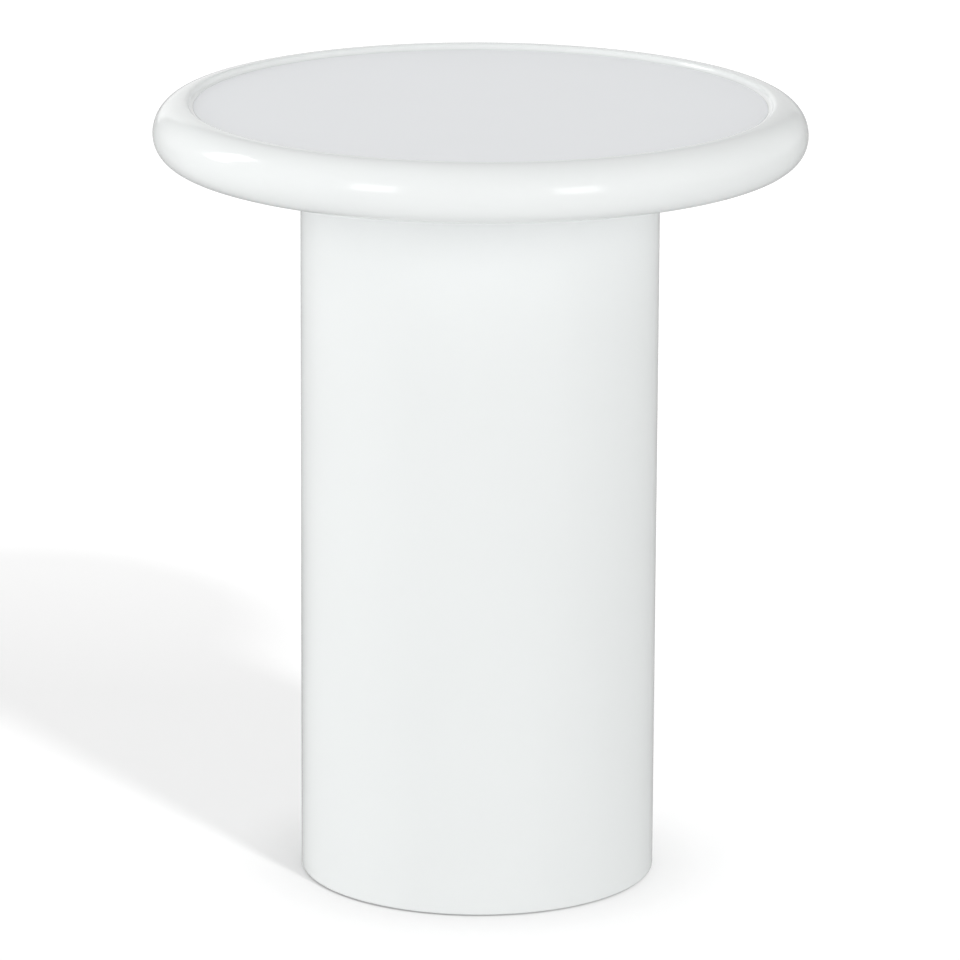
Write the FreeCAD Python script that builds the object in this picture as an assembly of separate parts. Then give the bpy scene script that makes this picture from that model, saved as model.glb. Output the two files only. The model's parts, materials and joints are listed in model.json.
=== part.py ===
"""Drum side table: a round tray top with a rolled rim on a plain drum column.

Units are millimetres. +Z is up, the floor is z = 0 and the drum's axis is the Z axis.
The front of the table faces -Y. Each sub-part is written to parts/NODE.step.
"""

import FreeCAD, Part

import math
import os

V = FreeCAD.Vector

# Overall size
TABLE_HEIGHT = 560.0
TOP_DIAMETER = 460.0
TOP_THICKNESS = 41.0
DRUM_DIAMETER = 253.0
FLOOR_GAP = 1.0  # the drum's lower edge above the floor, with the glides wound right in

# Rolled rim of the top
RIM_UPPER_DEPTH = 22.0  # from the widest line of the rim in to its crest
RIM_UPPER_HEIGHT = 22.5  # from the widest line up to the crest
RIM_LOWER_DEPTH = 17.5  # from the widest line in to the flat underside
RIM_SLOPE_WIDTH = 6.5  # from the crest in to the edge of the panel
TRAY_DEPTH = 4.0  # the panel's face below the crest
PANEL_LEDGE = 12.0  # width of the step that carries the panel
UNDERSIDE_LEDGE = 8.0  # width of the rebate that takes the underside board
PANEL_EDGE_ROUND = 0.6

# Boards
PANEL_THICKNESS = 9.0
UNDERSIDE_THICKNESS = 6.0
FORMER_THICKNESS = 18.0
BASE_PLATE_THICKNESS = 12.0

# Drum
SHELL_WALL = 9.0
SHELL_EDGE_ROUND = 1.5
MIDDLE_FORMER_RING = 42.0  # radial width of the middle former
BATTEN_DEPTH = 25.0
BATTEN_WIDTH = 30.0

# Clearances
GLUE_LINE = 0.15
BASE_PLATE_CLEARANCE = 0.5  # the base plate lifts out, so it is loose in the shell
SCREW_CLEARANCE = 0.1  # round a screw, insert or dowel in its hole
THREAD_CLEARANCE = 0.05  # between a bolt or stud and its nut
BOLT_CLEARANCE = 0.5  # round a bolt or stud in a plain through hole

# Bolts that hold the top on the drum
BOLT_COUNT = 4
BOLT_DIAMETER = 8.0
BOLT_HEAD_FLATS = 13.0
BOLT_HEAD_HEIGHT = 5.3
BOLT_INSET = 42.0  # from the inside of the shell to the bolt's axis
BOLT_TIP_GAP = 1.0  # the bolt stops this far below the top of its insert
WASHER_DIAMETER = 20.0
WASHER_THICKNESS = 1.6
INSERT_DIAMETER = 12.0
INSERT_COVER = 5.0  # core left above an insert

# Dowels that centre the top on the drum
DOWEL_COUNT = 2
DOWEL_DIAMETER = 10.0
DOWEL_EMBED = 15.0  # length in the top
DOWEL_FLOOR = 3.0  # former left below a dowel
DOWEL_INSET = 35.0  # from the inside of the shell to the dowel's axis

# Wood screws
SCREW_DIAMETER = 4.0
SCREW_HEAD_DIAMETER = 8.0
SCREW_TIP_LENGTH = 4.0
CROSS_WIDTH = 1.1
CROSS_SPAN = 4.0
CROSS_DEPTH = 1.4
BATTEN_SCREW_BITE = 32.0
BASE_SCREW_COUNT = 8
BASE_SCREW_BITE = 13.0

# Ballast
BALLAST_THICKNESS = 30.0
BALLAST_CLEARANCE = 5.0  # from the ballast to the lower former
BALLAST_CHAMFER = 2.0
BALLAST_SCREW_COUNT = 3
BALLAST_SCREW_DIAMETER = 6.0
BALLAST_SCREW_HEAD_DIAMETER = 12.0
BALLAST_SCREW_BITE = 18.0
BALLAST_SCREW_INSET = 25.0  # from the ballast's edge to the screw's axis

# Levelling glides
PAD_DIAMETER = 32.0
PAD_HEIGHT = 7.0
PAD_CHAMFER = 1.2
PAD_WALL_GAP = 3.0  # from the pad to the inside of the shell
PAD_PLAY = 0.15  # axial and radial play of the stud in its pad
RIVET_FLOOR_GAP = 1.0  # the rivet head above the floor
RIVET_DIAMETER = 10.0
RIVET_THICKNESS = 1.8
RIVET_RECESS_CLEARANCE = 0.6
NECK_DIAMETER = 6.0
COLLAR_FLATS = 14.0
COLLAR_HEIGHT = 4.5
COLLAR_STOP_GAP = 0.3  # collar to base plate with the glide wound right in
STUD_DIAMETER = 8.0
STUD_TIP_CHAMFER = 1.0
STUD_ENGAGEMENT = 11.0  # stud left in the lower former with the glide wound right out
STUD_TIP_GAP = 1.0  # above the stud with the glide wound right in
STUD_COVER = 3.0  # former left above a stud's hole
GLIDE_TRAVEL = 10.0
GLIDE_NUT_DIAMETER = 11.0
GLIDE_NUT_FLANGE_DIAMETER = 20.0
GLIDE_NUT_FLANGE_THICKNESS = 1.6
GLIDE_NUT_LENGTH = 14.0

# Angles about the drum's axis, in degrees from +X
BATTEN_ANGLES = {"batten_right": 0, "batten_rear": 90, "batten_left": 180, "batten_front": 270}
GLIDE_ANGLES = {"rear_right": 45, "rear_left": 135, "front_left": 225, "front_right": 315}
BOLT_START_ANGLE = 45.0
DOWEL_START_ANGLE = 0.0
BASE_SCREW_START_ANGLE = 22.5
BALLAST_SCREW_START_ANGLE = 90.0

# Radii worked out from the sizes above
TOP_RADIUS = TOP_DIAMETER / 2
CREST_RADIUS = TOP_RADIUS - RIM_UPPER_DEPTH
RIM_UNDERSIDE_RADIUS = TOP_RADIUS - RIM_LOWER_DEPTH
TRAY_RADIUS = CREST_RADIUS - RIM_SLOPE_WIDTH
RIM_INNER_RADIUS = TRAY_RADIUS - PANEL_LEDGE
UNDERSIDE_SEAT_RADIUS = RIM_INNER_RADIUS + UNDERSIDE_LEDGE
SHELL_OUTER_RADIUS = DRUM_DIAMETER / 2
SHELL_INNER_RADIUS = SHELL_OUTER_RADIUS - SHELL_WALL
FORMER_RADIUS = SHELL_INNER_RADIUS - GLUE_LINE
GLIDE_INSET = PAD_DIAMETER / 2 + PAD_WALL_GAP
GLIDE_RADIUS = SHELL_INNER_RADIUS - GLIDE_INSET
LOWER_FORMER_HOLE_RADIUS = SHELL_INNER_RADIUS - 2 * GLIDE_INSET
MIDDLE_FORMER_HOLE_RADIUS = SHELL_INNER_RADIUS - MIDDLE_FORMER_RING
BALLAST_RADIUS = LOWER_FORMER_HOLE_RADIUS - BALLAST_CLEARANCE
BATTEN_INNER_RADIUS = SHELL_INNER_RADIUS - BATTEN_DEPTH
BATTEN_AXIS_RADIUS = SHELL_INNER_RADIUS - BATTEN_DEPTH / 2
BOLT_RADIUS = SHELL_INNER_RADIUS - BOLT_INSET
DOWEL_RADIUS = SHELL_INNER_RADIUS - DOWEL_INSET
BALLAST_SCREW_RADIUS = BALLAST_RADIUS - BALLAST_SCREW_INSET

# Heights worked out from the sizes above
TRAY_Z = TABLE_HEIGHT - TRAY_DEPTH
RIM_WIDEST_Z = TABLE_HEIGHT - RIM_UPPER_HEIGHT
TOP_UNDERSIDE_Z = TABLE_HEIGHT - TOP_THICKNESS
PANEL_UNDERSIDE_Z = TRAY_Z - PANEL_THICKNESS
LEDGE_Z = PANEL_UNDERSIDE_Z - GLUE_LINE
UNDERSIDE_BOARD_TOP_Z = TOP_UNDERSIDE_Z + UNDERSIDE_THICKNESS
CORE_UNDERSIDE_Z = UNDERSIDE_BOARD_TOP_Z + GLUE_LINE
INSERT_TOP_Z = LEDGE_Z - INSERT_COVER
UPPER_FORMER_Z = TOP_UNDERSIDE_Z - FORMER_THICKNESS
RIVET_TOP_Z = RIVET_FLOOR_GAP + RIVET_THICKNESS
PAD_RECESS_Z = RIVET_TOP_Z + PAD_PLAY
COLLAR_Z = PAD_HEIGHT + PAD_PLAY
COLLAR_TOP_Z = COLLAR_Z + COLLAR_HEIGHT
BASE_PLATE_Z = COLLAR_TOP_Z + COLLAR_STOP_GAP
BASE_PLATE_TOP_Z = BASE_PLATE_Z + BASE_PLATE_THICKNESS
LOWER_FORMER_Z = BASE_PLATE_TOP_Z
STUD_TOP_Z = LOWER_FORMER_Z + STUD_ENGAGEMENT + GLIDE_TRAVEL
STUD_HOLE_TOP_Z = STUD_TOP_Z + STUD_TIP_GAP
GLIDE_NUT_TOP_Z = LOWER_FORMER_Z + GLIDE_NUT_LENGTH
LOWER_FORMER_TOP_Z = STUD_HOLE_TOP_Z + STUD_COVER
MIDDLE_FORMER_Z = (LOWER_FORMER_TOP_Z + UPPER_FORMER_Z - FORMER_THICKNESS) / 2
BATTEN_Z = LOWER_FORMER_TOP_Z + GLUE_LINE
BATTEN_TOP_Z = UPPER_FORMER_Z - GLUE_LINE
BOLT_SEAT_Z = UPPER_FORMER_Z - WASHER_THICKNESS
BOLT_TIP_Z = INSERT_TOP_Z - BOLT_TIP_GAP
DOWEL_Z = UPPER_FORMER_Z + DOWEL_FLOOR
DOWEL_TOP_Z = TOP_UNDERSIDE_Z + DOWEL_EMBED

# Lengths of the screws
UPPER_BATTEN_SCREW_LENGTH = FORMER_THICKNESS + GLUE_LINE + BATTEN_SCREW_BITE
LOWER_BATTEN_SCREW_LENGTH = BATTEN_Z - LOWER_FORMER_Z + BATTEN_SCREW_BITE
BASE_SCREW_LENGTH = BASE_PLATE_THICKNESS + BASE_SCREW_BITE
BALLAST_SCREW_LENGTH = BASE_PLATE_THICKNESS + BALLAST_SCREW_BITE


def polar(radius, degrees, z=0.0):
    """A point at a radius and an angle about the drum's axis."""
    angle = math.radians(degrees)
    return V(radius * math.cos(angle), radius * math.sin(angle), z)


def ring_angles(count, start):
    """Evenly spaced angles, in degrees."""
    return [start + 360.0 * i / count for i in range(count)]


def disc(radius, z_low, z_high):
    """A plain cylinder on the Z axis between two heights."""
    return Part.makeCylinder(radius, z_high - z_low, V(0, 0, z_low))


def revolve(edges):
    """A solid of revolution about Z from a closed outline in the XZ plane."""
    face = Part.Face(Part.Wire(edges))
    return face.revolve(V(0, 0, 0), V(0, 0, 1), 360)


def outline(points):
    """Straight edges through (radius, height) points, closed back to the first."""
    corners = [V(r, 0, z) for r, z in points]
    ends = corners[1:] + corners[:1]
    return [Part.LineSegment(a, b).toShape() for a, b in zip(corners, ends)]


def line(start, end):
    """A straight edge between two (radius, height) points."""
    return Part.LineSegment(V(start[0], 0, start[1]), V(end[0], 0, end[1])).toShape()


def arc(start, middle, end):
    """A round edge through three (radius, height) points."""
    a, b, c = (V(r, 0, z) for r, z in (start, middle, end))
    return Part.Arc(a, b, c).toShape()


def quarter_ellipse(r_centre, z_centre, depth, height):
    """A quarter of an ellipse between its outermost point and its top, or its foot if height is negative."""
    centre = V(r_centre, 0, z_centre)
    widest = V(r_centre + depth, 0, z_centre)
    end = V(r_centre, 0, z_centre + height)
    long_end, short_end = (widest, end) if depth > abs(height) else (end, widest)
    return Part.ArcOfEllipse(Part.Ellipse(long_end, short_end, centre), 0, math.pi / 2).toShape()


def hexagon(flats, z_low, z_high):
    """A hexagonal prism on the Z axis."""
    corners = [polar(flats / math.sqrt(3), 60 * i, z_low) for i in range(7)]
    return Part.Face(Part.makePolygon(corners)).extrude(V(0, 0, z_high - z_low))


def moved(shape, place):
    """A copy of a shape shifted from the origin."""
    copy = shape.copy()
    copy.translate(place)
    return copy


def cut_at(shape, tool, places):
    """A shape with a copy of the tool cut out at each place."""
    return shape.cut(Part.makeCompound([moved(tool, place) for place in places]))


def group_at(piece, places):
    """Separate copies of one piece, kept together as one node."""
    return Part.makeCompound([moved(piece, place) for place in places])


def bolt_places():
    return [polar(BOLT_RADIUS, a) for a in ring_angles(BOLT_COUNT, BOLT_START_ANGLE)]


def dowel_places():
    return [polar(DOWEL_RADIUS, a) for a in ring_angles(DOWEL_COUNT, DOWEL_START_ANGLE)]


def batten_places():
    return [polar(BATTEN_AXIS_RADIUS, a) for a in BATTEN_ANGLES.values()]


def base_screw_places():
    return [polar(GLIDE_RADIUS, a) for a in ring_angles(BASE_SCREW_COUNT, BASE_SCREW_START_ANGLE)]


def ballast_screw_places():
    angles = ring_angles(BALLAST_SCREW_COUNT, BALLAST_SCREW_START_ANGLE)
    return [polar(BALLAST_SCREW_RADIUS, a) for a in angles]


def glide_places():
    return [polar(GLIDE_RADIUS, a) for a in GLIDE_ANGLES.values()]


# Countersunk screws

def screw_body(diameter, head, length, tip=0.0, spare=0.0):
    """A countersunk screw pointing up from z = 0, or its hole if it is given spare room all round."""
    shank = diameter / 2 + spare
    rim = head / 2 + spare
    cone = rim - shank
    shoulder = length + spare - tip
    return revolve(outline([(0, 0), (rim, 0), (shank, cone), (shank, shoulder), (0, shoulder + tip)]))


def cross_recess():
    """The cross-shaped drive recess in a screw head at z = 0."""
    long_side = V(-CROSS_SPAN / 2, -CROSS_WIDTH / 2, 0)
    short_side = V(-CROSS_WIDTH / 2, -CROSS_SPAN / 2, 0)
    bar = Part.makeBox(CROSS_SPAN, CROSS_WIDTH, CROSS_DEPTH, long_side)
    return bar.fuse(Part.makeBox(CROSS_WIDTH, CROSS_SPAN, CROSS_DEPTH, short_side))


def wood_screw(length):
    """A pointed wood screw with a cross recess, pointing up from z = 0."""
    body = screw_body(SCREW_DIAMETER, SCREW_HEAD_DIAMETER, length, SCREW_TIP_LENGTH)
    return body.cut(cross_recess())


def wood_screw_hole(length):
    return screw_body(SCREW_DIAMETER, SCREW_HEAD_DIAMETER, length, spare=SCREW_CLEARANCE)


def machine_screw(length):
    """A blunt countersunk machine screw with a cross recess, pointing up from z = 0."""
    body = screw_body(BALLAST_SCREW_DIAMETER, BALLAST_SCREW_HEAD_DIAMETER, length)
    return body.cut(cross_recess())


def machine_screw_hole(length):
    return screw_body(BALLAST_SCREW_DIAMETER, BALLAST_SCREW_HEAD_DIAMETER, length, spare=SCREW_CLEARANCE)


def upside_down(shape):
    """A copy of a shape turned over about the X axis."""
    copy = shape.copy()
    copy.rotate(V(0, 0, 0), V(1, 0, 0), 180)
    return copy


# The top

def rim_ring():
    """The rolled rim: rounded outside, a double curve in to the tray, stepped inside for the boards."""
    lower_height = RIM_WIDEST_Z - TOP_UNDERSIDE_Z
    half_width = RIM_SLOPE_WIDTH / 2
    half_depth = TRAY_DEPTH / 2
    bend_radius = (half_width**2 + half_depth**2) / (2 * half_depth)
    half_turn = math.asin(half_width / bend_radius) / 2
    bend_run = bend_radius * math.sin(half_turn)
    bend_drop = bend_radius * (1 - math.cos(half_turn))
    crest = (CREST_RADIUS, TABLE_HEIGHT)
    upper_bend = (CREST_RADIUS - bend_run, TABLE_HEIGHT - bend_drop)
    slope_middle = (CREST_RADIUS - half_width, TABLE_HEIGHT - half_depth)
    lower_bend = (TRAY_RADIUS + bend_run, TRAY_Z + bend_drop)
    tray_edge = (TRAY_RADIUS, TRAY_Z)
    inside = [
        (RIM_UNDERSIDE_RADIUS, TOP_UNDERSIDE_Z),
        (UNDERSIDE_SEAT_RADIUS, TOP_UNDERSIDE_Z),
        (UNDERSIDE_SEAT_RADIUS, CORE_UNDERSIDE_Z),
        (RIM_INNER_RADIUS, CORE_UNDERSIDE_Z),
        (RIM_INNER_RADIUS, LEDGE_Z),
        (TRAY_RADIUS, LEDGE_Z),
        tray_edge,
    ]
    edges = [
        quarter_ellipse(CREST_RADIUS, RIM_WIDEST_Z, RIM_UPPER_DEPTH, RIM_UPPER_HEIGHT),
        quarter_ellipse(RIM_UNDERSIDE_RADIUS, RIM_WIDEST_Z, RIM_LOWER_DEPTH, -lower_height),
    ]
    edges += [line(a, b) for a, b in zip(inside, inside[1:])]
    edges.append(arc(tray_edge, lower_bend, slope_middle))
    edges.append(arc(slope_middle, upper_bend, crest))
    return revolve(edges)


def top_panel():
    """The flat disc of the tray, with its upper edge eased."""
    radius = TRAY_RADIUS - GLUE_LINE
    flat = radius - PANEL_EDGE_ROUND
    shoulder = TRAY_Z - PANEL_EDGE_ROUND
    ease = PANEL_EDGE_ROUND * (1 - math.sqrt(0.5))
    edges = [
        line((0, PANEL_UNDERSIDE_Z), (radius, PANEL_UNDERSIDE_Z)),
        line((radius, PANEL_UNDERSIDE_Z), (radius, shoulder)),
        arc((radius, shoulder), (radius - ease, TRAY_Z - ease), (flat, TRAY_Z)),
        line((flat, TRAY_Z), (0, TRAY_Z)),
        line((0, TRAY_Z), (0, PANEL_UNDERSIDE_Z)),
    ]
    return revolve(edges)


def top_core():
    """The core disc inside the rim, bored for the inserts and the dowels."""
    core = disc(RIM_INNER_RADIUS - GLUE_LINE, CORE_UNDERSIDE_Z, LEDGE_Z)
    insert_hole = disc(INSERT_DIAMETER / 2 + SCREW_CLEARANCE, CORE_UNDERSIDE_Z, INSERT_TOP_Z)
    dowel_hole = disc(DOWEL_DIAMETER / 2 + SCREW_CLEARANCE, CORE_UNDERSIDE_Z, DOWEL_TOP_Z)
    core = cut_at(core, insert_hole, bolt_places())
    return cut_at(core, dowel_hole, dowel_places())


def underside_board():
    """The thin board that closes the top from below."""
    board = disc(UNDERSIDE_SEAT_RADIUS - GLUE_LINE, TOP_UNDERSIDE_Z, UNDERSIDE_BOARD_TOP_Z)
    bolt_hole = disc(BOLT_DIAMETER / 2 + BOLT_CLEARANCE, TOP_UNDERSIDE_Z, UNDERSIDE_BOARD_TOP_Z)
    dowel_hole = disc(DOWEL_DIAMETER / 2 + SCREW_CLEARANCE, TOP_UNDERSIDE_Z, UNDERSIDE_BOARD_TOP_Z)
    board = cut_at(board, bolt_hole, bolt_places())
    return cut_at(board, dowel_hole, dowel_places())


def top_inserts():
    """Threaded inserts in the core, one for each bolt."""
    barrel = disc(INSERT_DIAMETER / 2, CORE_UNDERSIDE_Z, INSERT_TOP_Z)
    bore = disc(BOLT_DIAMETER / 2 + THREAD_CLEARANCE, CORE_UNDERSIDE_Z, INSERT_TOP_Z)
    return group_at(barrel.cut(bore), bolt_places())


def top_bolts():
    """Hexagon bolts that come up through the upper former."""
    head = hexagon(BOLT_HEAD_FLATS, BOLT_SEAT_Z - BOLT_HEAD_HEIGHT, BOLT_SEAT_Z)
    shank = disc(BOLT_DIAMETER / 2, BOLT_SEAT_Z, BOLT_TIP_Z)
    return group_at(head.fuse(shank).removeSplitter(), bolt_places())


def top_washers():
    """Flat washers under the bolt heads."""
    washer = disc(WASHER_DIAMETER / 2, BOLT_SEAT_Z, UPPER_FORMER_Z)
    hole = disc(BOLT_DIAMETER / 2 + BOLT_CLEARANCE, BOLT_SEAT_Z, UPPER_FORMER_Z)
    return group_at(washer.cut(hole), bolt_places())


def locating_dowels():
    """Wooden dowels between the upper former and the top."""
    return group_at(disc(DOWEL_DIAMETER / 2, DOWEL_Z, DOWEL_TOP_Z), dowel_places())


# The drum

def drum_shell():
    """The bent tube of the drum, with its lower edges eased."""
    ease = SHELL_EDGE_ROUND * (1 - math.sqrt(0.5))
    low = FLOOR_GAP
    shoulder = FLOOR_GAP + SHELL_EDGE_ROUND
    outer_flat = SHELL_OUTER_RADIUS - SHELL_EDGE_ROUND
    inner_flat = SHELL_INNER_RADIUS + SHELL_EDGE_ROUND
    edges = [
        line((inner_flat, low), (outer_flat, low)),
        arc((outer_flat, low), (SHELL_OUTER_RADIUS - ease, low + ease), (SHELL_OUTER_RADIUS, shoulder)),
        line((SHELL_OUTER_RADIUS, shoulder), (SHELL_OUTER_RADIUS, TOP_UNDERSIDE_Z)),
        line((SHELL_OUTER_RADIUS, TOP_UNDERSIDE_Z), (SHELL_INNER_RADIUS, TOP_UNDERSIDE_Z)),
        line((SHELL_INNER_RADIUS, TOP_UNDERSIDE_Z), (SHELL_INNER_RADIUS, shoulder)),
        arc((SHELL_INNER_RADIUS, shoulder), (SHELL_INNER_RADIUS + ease, low + ease), (inner_flat, low)),
    ]
    return revolve(edges)


def batten_blank(z_low, z_high, spare=0.0):
    """A batten on the +X side before its back is rounded to the shell, with spare room if it is a notch."""
    depth = BATTEN_DEPTH + spare + SHELL_WALL
    width = BATTEN_WIDTH + 2 * spare
    corner = V(BATTEN_INNER_RADIUS - spare, -width / 2, z_low)
    return Part.makeBox(depth, width, z_high - z_low, corner)


def turned(shape, degrees):
    """A copy of a shape turned about the drum's axis."""
    copy = shape.copy()
    copy.rotate(V(0, 0, 0), V(0, 0, 1), degrees)
    return copy


def batten(degrees):
    """A full-height batten glued to the shell, bored at each end for its screw."""
    blank = batten_blank(BATTEN_Z, BATTEN_TOP_Z)
    bar = blank.common(disc(FORMER_RADIUS, BATTEN_Z, BATTEN_TOP_Z))
    lower_hole = wood_screw_hole(LOWER_BATTEN_SCREW_LENGTH)
    upper_hole = upside_down(wood_screw_hole(UPPER_BATTEN_SCREW_LENGTH))
    axis = V(BATTEN_AXIS_RADIUS, 0, 0)
    bar = bar.cut(moved(lower_hole, axis + V(0, 0, LOWER_FORMER_Z)))
    bar = bar.cut(moved(upper_hole, axis + V(0, 0, TOP_UNDERSIDE_Z)))
    return turned(bar, degrees)


def upper_former():
    """The disc at the head of the drum that the top is bolted to."""
    former = disc(FORMER_RADIUS, UPPER_FORMER_Z, TOP_UNDERSIDE_Z)
    bolt_hole = disc(BOLT_DIAMETER / 2 + BOLT_CLEARANCE, UPPER_FORMER_Z, TOP_UNDERSIDE_Z)
    dowel_hole = disc(DOWEL_DIAMETER / 2 + SCREW_CLEARANCE, DOWEL_Z, TOP_UNDERSIDE_Z)
    screw_hole = moved(upside_down(wood_screw_hole(UPPER_BATTEN_SCREW_LENGTH)), V(0, 0, TOP_UNDERSIDE_Z))
    former = cut_at(former, bolt_hole, bolt_places())
    former = cut_at(former, dowel_hole, dowel_places())
    return cut_at(former, screw_hole, batten_places())


def middle_former():
    """The ring half way up the drum, notched for the battens."""
    top = MIDDLE_FORMER_Z + FORMER_THICKNESS
    former = disc(FORMER_RADIUS, MIDDLE_FORMER_Z, top)
    former = former.cut(disc(MIDDLE_FORMER_HOLE_RADIUS, MIDDLE_FORMER_Z, top))
    notch = batten_blank(MIDDLE_FORMER_Z, top, GLUE_LINE)
    return former.cut(Part.makeCompound([turned(notch, a) for a in BATTEN_ANGLES.values()]))


def lower_former():
    """The ring at the foot of the drum that holds the glide nuts and the base plate's screws."""
    former = disc(FORMER_RADIUS, LOWER_FORMER_Z, LOWER_FORMER_TOP_Z)
    former = former.cut(disc(LOWER_FORMER_HOLE_RADIUS, LOWER_FORMER_Z, LOWER_FORMER_TOP_Z))
    former = cut_at(former, glide_nut_blank(SCREW_CLEARANCE), glide_places())
    stud_hole = disc(STUD_DIAMETER / 2 + BOLT_CLEARANCE, LOWER_FORMER_Z, STUD_HOLE_TOP_Z)
    former = cut_at(former, stud_hole, glide_places())
    batten_hole = moved(wood_screw_hole(LOWER_BATTEN_SCREW_LENGTH), V(0, 0, LOWER_FORMER_Z))
    former = cut_at(former, batten_hole, batten_places())
    base_hole = moved(wood_screw_hole(BASE_SCREW_LENGTH), V(0, 0, BASE_PLATE_Z))
    return cut_at(former, base_hole, base_screw_places())


def lower_batten_screws():
    screw = moved(wood_screw(LOWER_BATTEN_SCREW_LENGTH), V(0, 0, LOWER_FORMER_Z))
    return group_at(screw, batten_places())


def upper_batten_screws():
    screw = moved(upside_down(wood_screw(UPPER_BATTEN_SCREW_LENGTH)), V(0, 0, TOP_UNDERSIDE_Z))
    return group_at(screw, batten_places())


# The base

def base_plate():
    """The disc that closes the drum from below and carries the ballast."""
    plate = disc(SHELL_INNER_RADIUS - BASE_PLATE_CLEARANCE, BASE_PLATE_Z, BASE_PLATE_TOP_Z)
    stud_hole = disc(STUD_DIAMETER / 2 + BOLT_CLEARANCE, BASE_PLATE_Z, BASE_PLATE_TOP_Z)
    screw_hole = moved(wood_screw_hole(BASE_SCREW_LENGTH), V(0, 0, BASE_PLATE_Z))
    ballast_hole = moved(machine_screw_hole(BALLAST_SCREW_LENGTH), V(0, 0, BASE_PLATE_Z))
    plate = cut_at(plate, stud_hole, glide_places())
    plate = cut_at(plate, screw_hole, base_screw_places())
    return cut_at(plate, ballast_hole, ballast_screw_places())


def base_plate_screws():
    screw = moved(wood_screw(BASE_SCREW_LENGTH), V(0, 0, BASE_PLATE_Z))
    return group_at(screw, base_screw_places())


def ballast_disc():
    """The heavy disc that keeps the table from tipping."""
    top = BASE_PLATE_TOP_Z + BALLAST_THICKNESS
    flat = BALLAST_RADIUS - BALLAST_CHAMFER
    points = [
        (0, BASE_PLATE_TOP_Z),
        (BALLAST_RADIUS, BASE_PLATE_TOP_Z),
        (BALLAST_RADIUS, top - BALLAST_CHAMFER),
        (flat, top),
        (0, top),
    ]
    tapped_hole = moved(machine_screw_hole(BALLAST_SCREW_LENGTH), V(0, 0, BASE_PLATE_Z))
    return cut_at(revolve(outline(points)), tapped_hole, ballast_screw_places())


def ballast_screws():
    screw = moved(machine_screw(BALLAST_SCREW_LENGTH), V(0, 0, BASE_PLATE_Z))
    return group_at(screw, ballast_screw_places())


# The levelling glides

def glide_nut_blank(spare=0.0):
    """A flanged nut with no bore, let into the lower former from below, or its seat with spare room."""
    flange = GLIDE_NUT_FLANGE_DIAMETER / 2 + spare
    barrel = GLIDE_NUT_DIAMETER / 2 + spare
    shoulder = LOWER_FORMER_Z + GLIDE_NUT_FLANGE_THICKNESS + spare
    points = [
        (0, LOWER_FORMER_Z),
        (flange, LOWER_FORMER_Z),
        (flange, shoulder),
        (barrel, shoulder),
        (barrel, GLIDE_NUT_TOP_Z + spare),
        (0, GLIDE_NUT_TOP_Z + spare),
    ]
    return revolve(outline(points))


def glide_nuts():
    bore = disc(STUD_DIAMETER / 2 + THREAD_CLEARANCE, LOWER_FORMER_Z, GLIDE_NUT_TOP_Z)
    return group_at(glide_nut_blank().cut(bore), glide_places())


def glide_stud(place):
    """A threaded stud with a hexagon collar, and a neck and rivet head that the pad turns on."""
    thread = STUD_DIAMETER / 2
    points = [
        (0, RIVET_FLOOR_GAP),
        (RIVET_DIAMETER / 2, RIVET_FLOOR_GAP),
        (RIVET_DIAMETER / 2, RIVET_TOP_Z),
        (NECK_DIAMETER / 2, RIVET_TOP_Z),
        (NECK_DIAMETER / 2, COLLAR_Z + COLLAR_HEIGHT / 2),
        (thread, COLLAR_Z + COLLAR_HEIGHT / 2),
        (thread, STUD_TOP_Z - STUD_TIP_CHAMFER),
        (thread - STUD_TIP_CHAMFER, STUD_TOP_Z),
        (0, STUD_TOP_Z),
    ]
    collar = hexagon(COLLAR_FLATS, COLLAR_Z, COLLAR_TOP_Z)
    return moved(revolve(outline(points)).fuse(collar).removeSplitter(), place)


def glide_pad(place):
    """A moulded foot that stays still on the floor while its stud is turned."""
    outer = PAD_DIAMETER / 2
    bore = NECK_DIAMETER / 2 + PAD_PLAY
    recess = RIVET_DIAMETER / 2 + RIVET_RECESS_CLEARANCE
    points = [
        (recess, 0),
        (outer, 0),
        (outer, PAD_HEIGHT - PAD_CHAMFER),
        (outer - PAD_CHAMFER, PAD_HEIGHT),
        (bore, PAD_HEIGHT),
        (bore, PAD_RECESS_Z),
        (recess, PAD_RECESS_Z),
    ]
    return moved(revolve(outline(points)), place)


def all_nodes():
    """Every sub-part by its node name."""
    nodes = {
        "rim_ring": rim_ring(),
        "top_panel": top_panel(),
        "top_core": top_core(),
        "underside_board": underside_board(),
        "top_inserts": top_inserts(),
        "top_bolts": top_bolts(),
        "top_washers": top_washers(),
        "locating_dowels": locating_dowels(),
        "drum_shell": drum_shell(),
        "upper_former": upper_former(),
        "middle_former": middle_former(),
        "lower_former": lower_former(),
        "upper_batten_screws": upper_batten_screws(),
        "lower_batten_screws": lower_batten_screws(),
        "base_plate": base_plate(),
        "base_plate_screws": base_plate_screws(),
        "ballast_disc": ballast_disc(),
        "ballast_screws": ballast_screws(),
        "glide_nuts": glide_nuts(),
    }
    for name, degrees in BATTEN_ANGLES.items():
        nodes[name] = batten(degrees)
    for name, degrees in GLIDE_ANGLES.items():
        nodes[name + "_glide_stud"] = glide_stud(polar(GLIDE_RADIUS, degrees))
        nodes[name + "_glide_pad"] = glide_pad(polar(GLIDE_RADIUS, degrees))
    return nodes


def main():
    os.makedirs("parts", exist_ok=True)
    for name, shape in all_nodes().items():
        shape.exportStep(os.path.join("parts", name + ".step"))
        print(f"{name}: {len(shape.Solids)} solid(s), {shape.Volume / 1000:.2f} cm3, valid {shape.isValid()}")


main()
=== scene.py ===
"""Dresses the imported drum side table: lacquer, boards, metalwork, and a white studio round it."""

import json
import math

import bmesh
import bpy
from bpy.props import FloatProperty, FloatVectorProperty, IntProperty, PointerProperty
from mathutils import Matrix, Vector


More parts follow.
